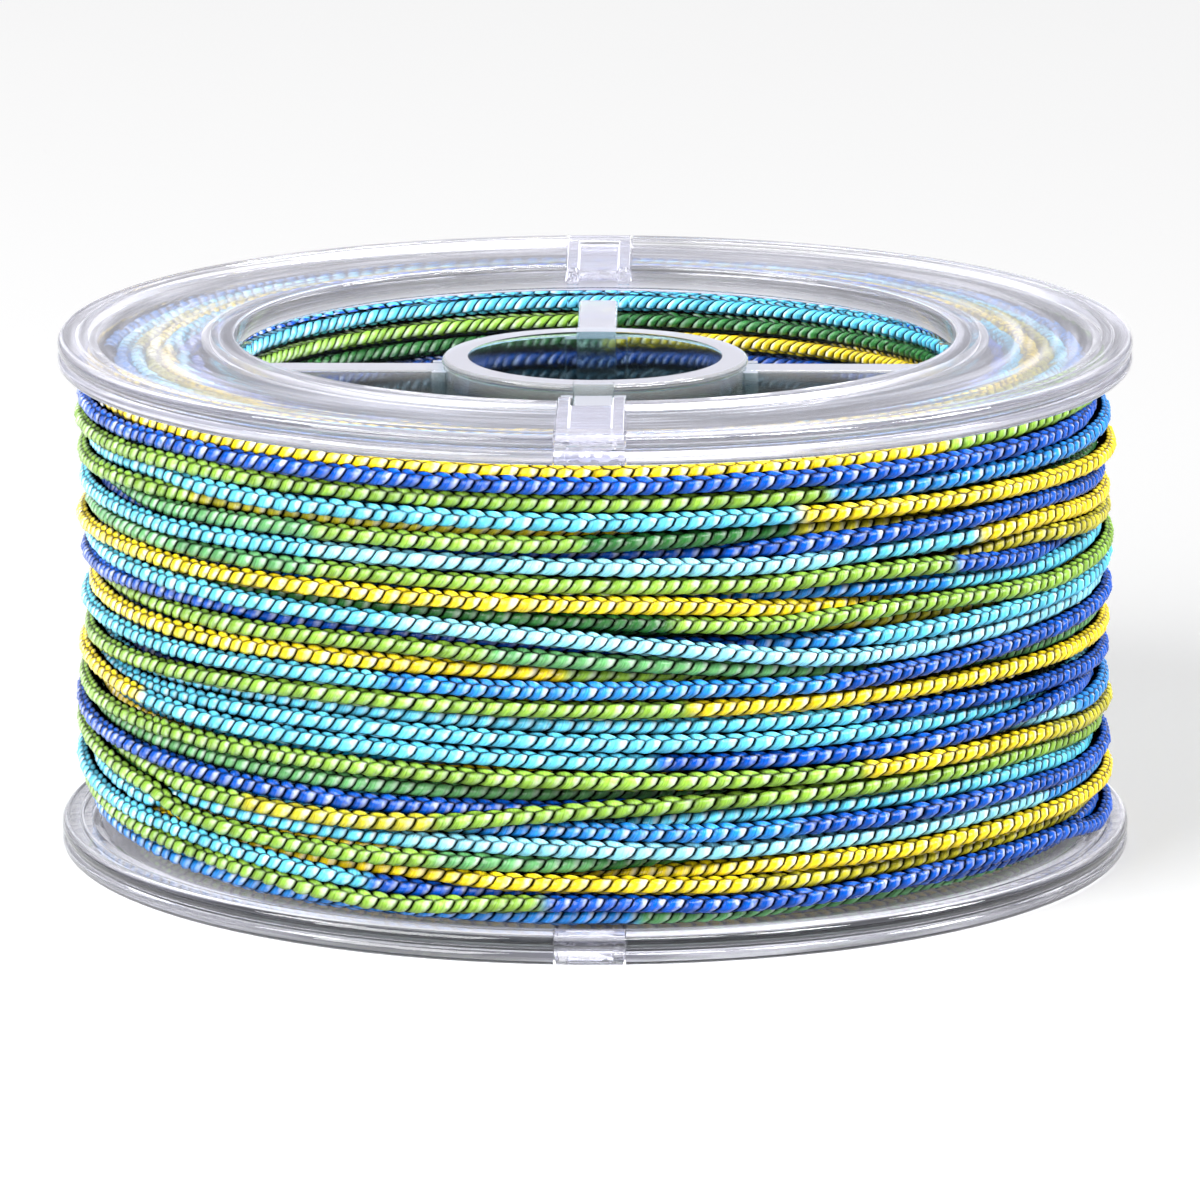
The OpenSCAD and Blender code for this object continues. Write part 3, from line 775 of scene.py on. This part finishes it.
def build_winding_core(material):
    """The body of the winding between its inner and outer layers, ribbed by its turns."""
    rib = 0.35                      # depth of the ribs
    low = LINE_LOW + 1.9 * LINE_D
    high = LINE_HIGH - 1.9 * LINE_D
    inner = DRUM_SIDE_R + 0.9
    outer = BACKING_R - 0.6
    outline = []
    corners = ((inner, low), (outer, low), (outer, high), (inner, high))
    for (r0, z0), (r1, z1) in zip(corners, corners[1:] + corners[:1]):
        length = math.hypot(r1 - r0, z1 - z0)
        ribs = round(length / LINE_D)
        out = ((z1 - z0) / length, (r0 - r1) / length)
        for k in range(ribs * 4):
            t = k / (ribs * 4)
            bulge = rib * (abs(math.sin(math.pi * k / 4)) - 1)
            outline.append((r0 + (r1 - r0) * t + out[0] * bulge, z0 + (z1 - z0) * t + out[1] * bulge))
    core = lathe("winding_core", outline, 128)
    return place(core, material, "drum", "line_inner")


def lathe(name, outline, segments):
    """A closed ring: an outline of (radius, height) points in millimetres, turned round +Z."""
    points = np.array(outline)
    count = len(points)
    angle = np.arange(segments) * 2 * math.pi / segments
    vertices = np.stack((
        np.outer(np.cos(angle), points[:, 0]),
        np.outer(np.sin(angle), points[:, 0]),
        np.tile(points[:, 1], (segments, 1)),
    ), -1).reshape(-1, 3) * MM
    j, m = np.meshgrid(np.arange(segments), np.arange(count), indexing="ij")
    k, n = (j + 1) % segments, (m + 1) % count
    faces = np.stack((j * count + m, k * count + m, k * count + n, j * count + n), -1)
    mesh = bpy.data.meshes.new(name)
    mesh.from_pydata(vertices.tolist(), [], faces.reshape(-1, 4).tolist())
    mesh.polygons.foreach_set("use_smooth", np.ones(len(mesh.polygons), bool))
    mesh.update()
    return new_object(name, mesh)


# ---- the clear pieces ----

def rounded(corners):
    """An outline with its corners rounded. Each corner is (radius, height, rounding)."""
    steps = 4
    outline = []
    for k, (r, z, size) in enumerate(corners):
        here = np.array((r, z), float)
        if size == 0:
            outline.append(tuple(here))
            continue
        back = np.array(corners[k - 1][:2]) - here
        ahead = np.array(corners[(k + 1) % len(corners)][:2]) - here
        back /= np.linalg.norm(back)
        ahead /= np.linalg.norm(ahead)
        half = math.acos(max(-1.0, min(1.0, float(back @ ahead)))) / 2
        middle = here + (back + ahead) / np.linalg.norm(back + ahead) * size / math.sin(half)
        start, end = (here + way * size / math.tan(half) - middle for way in (back, ahead))
        turn = math.atan2(start[0] * end[1] - start[1] * end[0], float(start @ end))
        for i in range(steps + 1):
            c, d = math.cos(turn * i / steps), math.sin(turn * i / steps)
            outline.append((middle[0] + c * start[0] - d * start[1],
                            middle[1] + d * start[0] + c * start[1]))
    return outline


def rim_edge():
    """The two beads of a rim, from its lower face to its upper one."""
    reach = FLANGE_R - BEAD_R
    stop = math.degrees(math.acos((GROOVE_R - reach) / BEAD_R))
    lower = [(reach + BEAD_R * math.cos(math.radians(a)), BEAD_R + BEAD_R * math.sin(math.radians(a)))
             for a in np.linspace(-90, stop, 13)]
    upper = [(r, FLANGE_T - z) for r, z in reversed(lower)]
    return lower + upper


def flange_outline():
    """Half section of a flange that lies on z = 0, with the side that faces the line up."""
    inner, outer, depth = RECESS
    face = [(COLLAR_R, 0, 0.15), (inner, depth, 0.2), (outer, depth, 0.2), (RIM_R, 0, 0.15),
            (LINE_GROOVE[0], 0, 0.05), (LINE_GROOVE[1], LINE_GROOVE[2], 0.05),
            (2 * LINE_GROOVE[1] - LINE_GROOVE[0], 0, 0.05)]
    inside = [(r, FLANGE_T - z, size) for r, z, size in reversed(face)]
    below = rounded([(OPENING_R, FLANGE_T - SEAT[1], 0.12), (OPENING_R, 0, 0.35)] + face
                    + [(FLANGE_R, 0, 0)])[:-1]
    above = rounded([(FLANGE_R, FLANGE_T, 0)] + inside
                    + [(SEAT[0], FLANGE_T, 0.12), (SEAT[0], FLANGE_T - SEAT[1], 0),
                       (OPENING_R, FLANGE_T - SEAT[1], 0)])[1:-1]
    return below + rim_edge() + above


def prism(name, section, y0, y1):
    """A bar along Y whose section is given as (x, z) points in millimetres."""
    bm = bmesh.new()
    rows = [[bm.verts.new((x * MM, y * MM, z * MM)) for x, z in section] for y in (y0, y1)]
    count = len(section)
    for k in range(count):
        n = (k + 1) % count
        bm.faces.new((rows[0][k], rows[0][n], rows[1][n], rows[1][k]))
    bm.faces.new(reversed(rows[0]))
    bm.faces.new(rows[1])
    bmesh.ops.recalc_face_normals(bm, faces=bm.faces)
    mesh = bpy.data.meshes.new(name)
    bm.to_mesh(mesh)
    bm.free()
    return new_object(name, mesh)


def bake_modifiers(obj):
    """Puts the result of a piece's modifiers into its mesh."""
    graph = bpy.context.evaluated_depsgraph_get()
    mesh = bpy.data.meshes.new_from_object(obj.evaluated_get(graph))
    obj.modifiers.clear()
    old = obj.data
    obj.data = mesh
    bpy.data.meshes.remove(old)
    mesh.name = obj.name


def shade(obj):
    """Smooth shading that leaves flat faces flat."""
    obj.data.polygons.foreach_set("use_smooth", np.ones(len(obj.data.polygons), bool))
    obj.data.set_sharp_from_angle(angle=math.radians(35))
    weighted = obj.modifiers.new("flat_faces", "WEIGHTED_NORMAL")
    weighted.keep_sharp = True
    weighted.weight = 80
    bake_modifiers(obj)


def cut(obj, cutters):
    """Cuts each cutter's shape out of obj, and removes the cutters."""
    for cutter in cutters:
        boolean = obj.modifiers.new("cut", "BOOLEAN")
        boolean.operation = "DIFFERENCE"
        boolean.solver = "EXACT"
        boolean.object = cutter
    bake_modifiers(obj)
    for cutter in cutters:
        bpy.data.objects.remove(cutter)


def key_cutters(side):
    """What is cut from a flange on z = 0 for its front key (side -1) or back key (side 1)."""
    low = KEY_HALF + KEY_GAP
    top = low + DOVETAIL
    stem = KEY_T + KEY_GAP
    groove = [(-low, -1), (low, -1), (low, -0.01), (top, stem), (-top, stem), (-low, -0.01)]
    notch = [(-top, -1), (top, -1), (top, FLANGE_T + 1), (-top, FLANGE_T + 1)]
    ends = (side * (OPENING_R - 2), side * (FLANGE_R + 1))
    return [prism("groove", groove, *ends),
            prism("notch", notch, side * (HEAD_R - KEY_GAP), side * (FLANGE_R + 1))]


def build_flange(name, upper, material, body):
    """A flange turned from its half section. The upper one is the lower one mirrored."""
    flange = lathe(name, flange_outline(), FLANGE_SEGMENTS)
    cut(flange, key_cutters(-1) + key_cutters(1))
    if upper:
        bm = bmesh.new()
        bm.from_mesh(flange.data)
        for v in bm.verts:
            v.co.z = SPOOL_H * MM - v.co.z
        bmesh.ops.reverse_faces(bm, faces=bm.faces)
        bm.to_mesh(flange.data)
        bm.free()
    shade(flange)
    return place(flange, material, body, "clear_flange", name.removeprefix("moulded_"))


def polished_copy(node_name, material, body, slot, polish, shortest):
    """A copy of a CAD piece, with its sharp edges rounded where they are longer than shortest."""
    mesh = frame["nodes"][node_name].data.copy()
    bm = bmesh.new()
    bm.from_mesh(mesh)
    bmesh.ops.remove_doubles(bm, verts=bm.verts, dist=0.03 * MM)
    bmesh.ops.dissolve_limit(bm, angle_limit=math.radians(0.5), verts=bm.verts, edges=bm.edges)
    sharp = [edge for edge in bm.edges if edge.calc_length() > shortest * MM
             and abs(edge.calc_face_angle(0.0)) > math.radians(POLISH_ANGLE)]
    surface = BVHTree.FromBMesh(bm)
    bmesh.ops.bevel(bm, geom=sharp, offset=polish * MM, segments=2, profile=0.5, affect="EDGES")
    low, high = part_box(node_name)
    for vertex in bm.verts:
        # a corner that the rounding threw off the piece goes back to its surface
        nearest, _, _, distance = surface.find_nearest(vertex.co)
        if distance > 0.5 * polish * MM:
            vertex.co = nearest
        vertex.co = [min(max(value, low[axis]), high[axis]) for axis, value in enumerate(vertex.co)]
    bm.to_mesh(mesh)
    bm.free()
    for name in ("custom_normal", "sharp_face", "sharp_edge"):
        if name in mesh.attributes:
            mesh.attributes.remove(mesh.attributes[name])
    piece = new_object("moulded_" + node_name, mesh)
    shade(piece)
    return place(piece, material, body, slot, node_name)


# ---- the stage ----

def way_out(turn, rise):
    """Unit vector from the spool, at degrees round it from the front and degrees upwards."""
    turn, rise = math.radians(turn), math.radians(rise)
    return Vector((math.sin(turn) * math.cos(rise), -math.cos(turn) * math.cos(rise), math.sin(rise)))


def turn_towards(obj, direction):
    """Turns a camera or a light so that it looks in that direction."""
    obj.rotation_mode = "QUATERNION"
    obj.rotation_quaternion = direction.to_track_quat("-Z", "Y")


def make_camera():
    data = bpy.data.cameras.new("camera")
    data.sensor_width = 36
    data.lens = CAMERA_LENS
    data.clip_start = 0.05
    data.clip_end = 20
    camera = new_object("camera", data)
    back = way_out(CAMERA_TURN, CAMERA_ELEVATION)
    camera.location = (Vector(CAMERA_AIM) + back * CAMERA_DISTANCE) * MM
    turn_towards(camera, -back)
    bpy.context.scene.camera = camera


def area_light(name, location, size, power):
    """A square light that shines on the middle of the spool."""
    data = bpy.data.lights.new(name, "AREA")
    data.size = size
    data.energy = power
    light = new_object(name, data)
    light.location = location
    turn_towards(light, Vector((0, 0, 0.024)) - Vector(location))
    return light


def make_floor():
    """A pale floor that glows a little, with a painted shadow under the spool where it glows less, and
    painted shade in darker streaks where it is seen through plastic.
    """
    size = 6.0
    cells = 12
    span = np.linspace(-size / 2, size / 2, cells + 1)
    vertices = [(x, y, 0.0) for y in span for x in span]
    row = cells + 1
    corners = [r * row + c for r in range(cells) for c in range(cells)]
    mesh = bpy.data.meshes.new("floor")
    mesh.from_pydata(vertices, [], [(k, k + 1, k + row + 1, k + row) for k in corners])
    floor = new_object("floor", mesh)

    s = Shader(bpy.data.materials.new("pale_floor"))
    points = s.node("TexCoord").outputs["Object"]
    away = s.node("VectorMath", points, operation="LENGTH").outputs["Value"]
    # Painted shade that shows only through plastic: darker rings of floor, darker still far off, and an
    # even grey under the spool.
    strips = s.node("TexNoise", noise_dimensions="1D", Scale=1.0, Detail=2.0,
                    W=s.maths("MULTIPLY", s.maths("LOGARITHM", away, math.e), 9.0))
    rings = s.ramp(strips.outputs[0], (0.38, 0.12), (0.5, 0.75), (0.6, 1.0))
    rings = s.times(rings, s.fade(away, 150, 250, 1.0, 0.7))
    rings = s.mix_colour("MIX", s.fade(away, 50, 60, 0, 1), grey(0.9), rings)
    seen = s.mix_colour("MIX", s.node("LightPath").outputs["Is Transmission Ray"], grey(1.0), rings)
    colour = s.ramp(s.noise(points, Scale=3.0, Detail=2.0), (0.3, 0.60), (0.7, 0.62))
    # glow is a painted shadow under the spool, where the floor glows less.
    glow = s.maths("MULTIPLY", s.fade(away, 40, 49.5, 0.25, 0.62), seen)
    skin = s.node("BsdfPrincipled", Base_Color=s.times(colour, seen), Roughness=0.7,
                  Emission_Color=grey(1.0), Emission_Strength=glow)
    s.node("OutputMaterial", skin.outputs[0])
    mesh.materials.append(s.owner)
    return floor


def make_world():
    """White behind the spool and dimmer in front of it, as in a room with a white backdrop."""
    world = bpy.data.worlds.new("studio")
    bpy.context.scene.world = world
    s = Shader(world)
    direction = s.node("SeparateXYZ", s.node("TexCoord").outputs["Generated"]).outputs
    depth = s.maths("MULTIPLY_ADD", direction["Y"], 0.5, 0.5)
    across = s.ramp(depth, (0.0, 0.1), (0.42, 0.16), (0.62, 0.4), (0.9, 0.4), (1.0, 0.5))
    upward = s.ramp(direction["Z"], (0.0, (0.94, 0.94, 1.0, 1)), (0.3, (0.95, 0.95, 1.0, 1)),
                    (0.55, 0.6), (0.75, 0.6), (1.0, 0.9))
    room = s.times(across, upward)
    depths = s.ramp(depth, (0.0, 0.05), (0.35, 0.12), (0.5, 0.6), (1.0, 0.9))
    strips = s.node("TexNoise", noise_dimensions="1D", Scale=13.0, Detail=2.0, W=direction["Z"])
    bands = s.ramp(strips.outputs[0], (0.4, 0.06), (0.48, 0.5), (0.58, 1.0))
    refracted = s.times(depths, bands)
    path = s.node("LightPath").outputs
    beyond = s.mix_colour("MIX", path["Is Transmission Ray"], room, refracted)
    colour = s.mix_colour("MIX", path["Is Camera Ray"], beyond, grey(1.0))
    light = s.node("Background", colour)
    s.node("OutputWorld", light.outputs[0])


def make_lights(floor):
    """A soft key from the left, and small lights whose glints the line and the plastic show."""
    not_floor = bpy.data.collections.new("not_the_floor")
    not_floor.objects.link(floor)
    not_floor.collection_objects[0].light_linking.link_state = "EXCLUDE"
    area_light("key_light", KEY_LIGHT, KEY_LIGHT_SIZE, KEY_LIGHT_POWER)
    for name, turn, rise, power in GLINTS:
        glint = area_light(name, way_out(turn, rise), GLINT_SIZE, power)
        glint.light_linking.receiver_collection = not_floor


# ---- the whole ----

make_camera()
make_world()
make_lights(make_floor())
bpy.context.scene.view_settings.view_transform = "Standard"

braid = line_material()
outer = build_outer_layers(braid)
build_drum_side_layer(braid)
build_backing_layer(braid)
build_spiral("top_spiral", 1, TOP_SPIRAL_DYES, braid)
build_spiral("low_spiral", -1, LOW_SPIRAL_DYES, braid)
build_start_knot(braid)
core = build_winding_core(core_material())
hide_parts("line_outer")
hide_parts("line_core")

clear = {
    "clear_flange": clear_material("clear_flange", (0.90, 0.90, 0.93), satin=0.28, milk=0.24,
                                   bore=1.0, smoke=17.0),
    "clear_drum": clear_material("clear_drum", (0.93, 0.935, 0.95), satin=0.2, ior=1.08, coat=0.6),
    "clear_hub": clear_material("clear_hub", (0.60, 0.72, 0.76), satin=0.5, milk=0.42, walls=0.08,
                                ends=0.8, ior=1.12, coat=0.8, blur=0.12, rims=0.22),
    "clear_key": clear_material("clear_key", (0.86, 0.86, 0.92), satin=0.16, milk=0.4, ior=1.5,
                                rims=0.55, facets=9.0),
}
build_flange("moulded_lower_flange", False, clear["clear_flange"], "drum")
build_flange("moulded_upper_flange", True, clear["clear_flange"], "top")
bodies = {node: body for body, nodes in frame["record"]["behaviour"]["bodies"].items() for node in nodes}
for part in frame["record"]["subparts"]:
    slot = part["material_slot"]
    if slot in clear and slot != "clear_flange":
        polish = KEY_POLISH if slot == "clear_key" else HUB_POLISH
        polished_copy(part["node"], clear[slot], bodies[part["node"]], slot, *polish)
